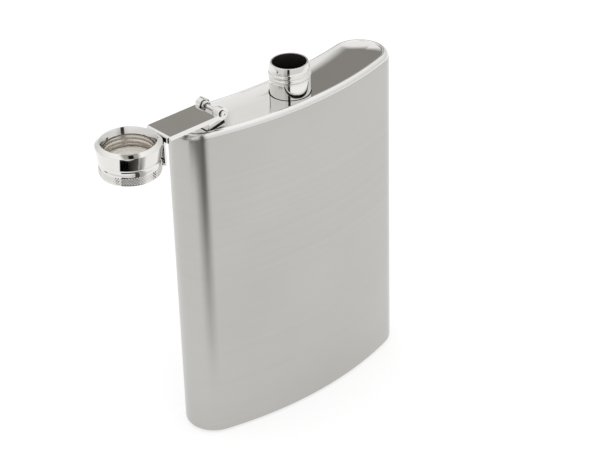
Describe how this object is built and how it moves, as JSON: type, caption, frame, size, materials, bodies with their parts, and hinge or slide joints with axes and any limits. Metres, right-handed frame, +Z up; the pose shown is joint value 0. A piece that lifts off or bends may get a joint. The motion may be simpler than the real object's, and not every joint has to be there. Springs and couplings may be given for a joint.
{
  "type": "hip flask",
  "caption": "Curved steel pocket flask with a recessed shoulder, a short threaded neck and a screw cap held on a hinged arm, modelled open.",
  "frame": {"origin": "middle of the base plate's flat underside, on the neck's axis", "axes": "+Z up along the neck, +X across the width away from the hinge, -Y the convex front and +Y the hollow back"},
  "size_m": [0.1296, 0.0272, 0.1337],
  "materials": {
    "satin_steel": "fine satin brushing round the body",
    "polished_steel": "mirror polished",
    "plain_steel": "as turned, slightly warm",
    "seal_rubber": "matt, off-white silicone"
  },
  "bodies": {
    "flask": {"body_wall": "satin_steel", "base_plate": "satin_steel", "shoulder_plate": "polished_steel", "neck_tube": "polished_steel", "hinge_bracket": "polished_steel", "hinge_pin": "polished_steel"},
    "arm": {"cap_arm": "polished_steel", "cap_rivet": "polished_steel"},
    "cap": {"cap_shell": "polished_steel", "cap_thread_insert": "plain_steel", "cap_liner": "seal_rubber", "rivet_washer": "plain_steel"}
  },
  "joints": [
    {"name": "arm_hinge", "type": "hinge", "parent": "flask", "child": "arm", "pos_m": [-0.0352, 0, 0.1285], "axis": [0, 1, 0], "range_deg": [0, 180]},
    {"name": "cap_spin", "type": "hinge", "parent": "arm", "child": "cap", "pos_m": [-0.0704, 0, 0.13], "axis": [0, 0, 1], "continuous": true}
  ]
}
